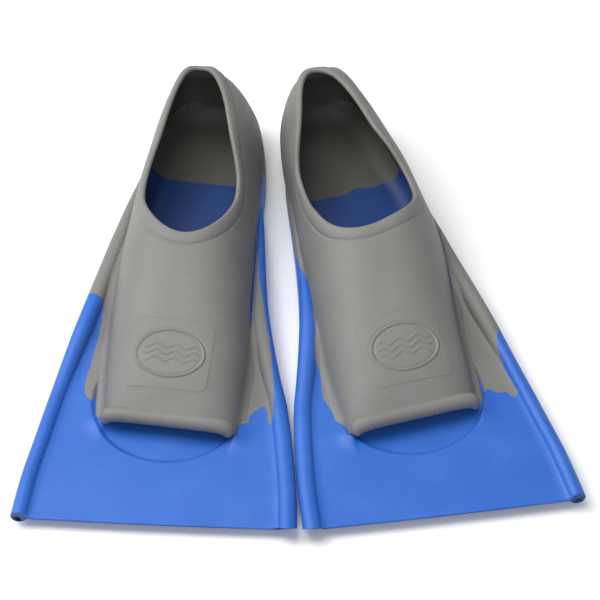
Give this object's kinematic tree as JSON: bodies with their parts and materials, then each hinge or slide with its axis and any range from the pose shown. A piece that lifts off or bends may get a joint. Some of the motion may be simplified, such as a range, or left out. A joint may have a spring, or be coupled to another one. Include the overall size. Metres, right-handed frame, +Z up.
{
  "type": "swim training fins",
  "caption": "Matched right and left full-foot swim fins: open-toe foot pockets in soft rubber on stiffer short railed blades that flex for kicking.",
  "frame": {"origin": "centre of the pair's bounding box, on the floor the soles rest on", "axes": "+Z up, +Y towards the heels, -Y towards the blade tips, +X towards the left-foot fin"},
  "size_m": [0.408, 0.4378, 0.0833],
  "materials": {
    "pocket_rubber": "matte moulded soft rubber",
    "blade_rubber": "satin moulded stiff rubber"
  },
  "bodies": {
    "right_foot_pocket": {"right_ankle_collar": "pocket_rubber", "right_badge_panel": "pocket_rubber", "right_front_footbed": "blade_rubber", "right_heel_cup": "pocket_rubber", "right_heel_sole": "pocket_rubber", "right_instep_cover": "pocket_rubber", "right_lateral_rail_root": "blade_rubber", "right_lateral_wall": "pocket_rubber", "right_medial_rail_root": "blade_rubber", "right_medial_wall": "pocket_rubber", "right_toe_roll": "pocket_rubber", "right_web_root": "blade_rubber"},
    "right_blade": {"right_blade_web": "blade_rubber", "right_lateral_rail_tip": "blade_rubber", "right_medial_rail_tip": "blade_rubber"},
    "left_foot_pocket": {"left_ankle_collar": "pocket_rubber", "left_badge_panel": "pocket_rubber", "left_front_footbed": "blade_rubber", "left_heel_cup": "pocket_rubber", "left_heel_sole": "pocket_rubber", "left_instep_cover": "pocket_rubber", "left_lateral_rail_root": "blade_rubber", "left_lateral_wall": "pocket_rubber", "left_medial_rail_root": "blade_rubber", "left_medial_wall": "pocket_rubber", "left_toe_roll": "pocket_rubber", "left_web_root": "blade_rubber"},
    "left_blade": {"left_blade_web": "blade_rubber", "left_lateral_rail_tip": "blade_rubber", "left_medial_rail_tip": "blade_rubber"}
  },
  "joints": [
    {"name": "right_blade_flex", "type": "hinge", "parent": "right_foot_pocket", "child": "right_blade", "pos_m": [-0.09926, -0.15772, 0.008], "axis": [-0.9982, 0.06, 0], "range_deg": [-25, 25], "stiffness_Nm_per_rad": 4},
    {"name": "left_blade_flex", "type": "hinge", "parent": "left_foot_pocket", "child": "left_blade", "pos_m": [0.09448, -0.14948, 0.008], "axis": [-0.9803, -0.1977, 0], "range_deg": [-25, 25], "stiffness_Nm_per_rad": 4},
    {"name": "left_fin_lift", "type": "slide", "parent": "right_foot_pocket", "child": "left_foot_pocket", "axis": [0, 0, 1], "range_m": [0, 0.25]}
  ]
}
